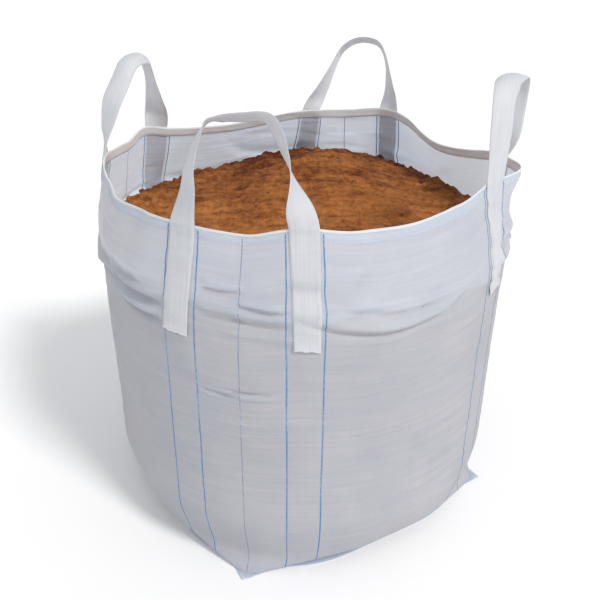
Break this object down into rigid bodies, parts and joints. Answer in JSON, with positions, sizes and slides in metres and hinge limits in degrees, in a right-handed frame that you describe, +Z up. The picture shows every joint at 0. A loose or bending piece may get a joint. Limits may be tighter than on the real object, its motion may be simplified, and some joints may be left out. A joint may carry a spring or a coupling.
{
  "type": "bulk bag",
  "caption": "Open-topped woven bulk bag standing full of heaped sand, with a webbing lift loop sewn over each corner and a folded hem.",
  "frame": {"origin": "on the floor under the middle of the bag", "axes": "+Z up towards the open mouth, +X to the bag's right and -Y to its front"},
  "size_m": [1.1564, 1.1564, 1.3015],
  "materials": {
    "woven_fabric": "white woven polypropylene cloth, slightly glossy flat yarns",
    "hem_fabric": "the same cloth folded double",
    "webbing": "flat polypropylene webbing, ribbed lengthwise",
    "white_thread": "twisted sewing thread",
    "blue_thread": "blue marker yarn",
    "corner_thread": "grey-blue marker yarn",
    "sand": "damp orange-brown building sand"
  },
  "bodies": {
    "bag": {"body_fabric": "woven_fabric", "top_hem": "hem_fabric", "hem_stitching": "white_thread", "base_panel": "woven_fabric", "base_seam_allowance": "woven_fabric", "base_seam_stitching": "white_thread", "base_corner_ears": "woven_fabric", "marker_stripes": "blue_thread", "corner_stripes": "corner_thread", "sand_fill": "sand", "sewn_leg_front_left_front_face": "webbing", "sewn_leg_front_left_left_face": "webbing", "sewn_leg_front_right_front_face": "webbing", "sewn_leg_front_right_right_face": "webbing", "sewn_leg_rear_right_rear_face": "webbing", "sewn_leg_rear_right_right_face": "webbing", "sewn_leg_rear_left_rear_face": "webbing", "sewn_leg_rear_left_left_face": "webbing", "leg_stitching_front_left": "white_thread", "leg_stitching_front_right": "white_thread", "leg_stitching_rear_right": "white_thread", "leg_stitching_rear_left": "white_thread"},
    "loop_front_left": {"lift_loop_front_left": "webbing"},
    "loop_front_right": {"lift_loop_front_right": "webbing"},
    "loop_rear_right": {"lift_loop_rear_right": "webbing"},
    "loop_rear_left": {"lift_loop_rear_left": "webbing"}
  },
  "joints": [
    {"name": "swing_front_left", "type": "hinge", "parent": "bag", "child": "loop_front_left", "pos_m": [-0.37025, -0.37025, 1.047], "axis": [0.7071, -0.7071, 0], "range_deg": [-94, 131], "stiffness_Nm_per_rad": 0.8},
    {"name": "swing_front_right", "type": "hinge", "parent": "bag", "child": "loop_front_right", "pos_m": [0.37025, -0.37025, 1.047], "axis": [0.7071, 0.7071, 0], "range_deg": [-106, 119], "stiffness_Nm_per_rad": 0.8},
    {"name": "swing_rear_right", "type": "hinge", "parent": "bag", "child": "loop_rear_right", "pos_m": [0.37025, 0.37025, 1.047], "axis": [-0.7071, 0.7071, 0], "range_deg": [-118, 107], "stiffness_Nm_per_rad": 0.8},
    {"name": "swing_rear_left", "type": "hinge", "parent": "bag", "child": "loop_rear_left", "pos_m": [-0.37025, 0.37025, 1.047], "axis": [-0.7071, -0.7071, 0], "range_deg": [-94, 131], "stiffness_Nm_per_rad": 0.8}
  ]
}
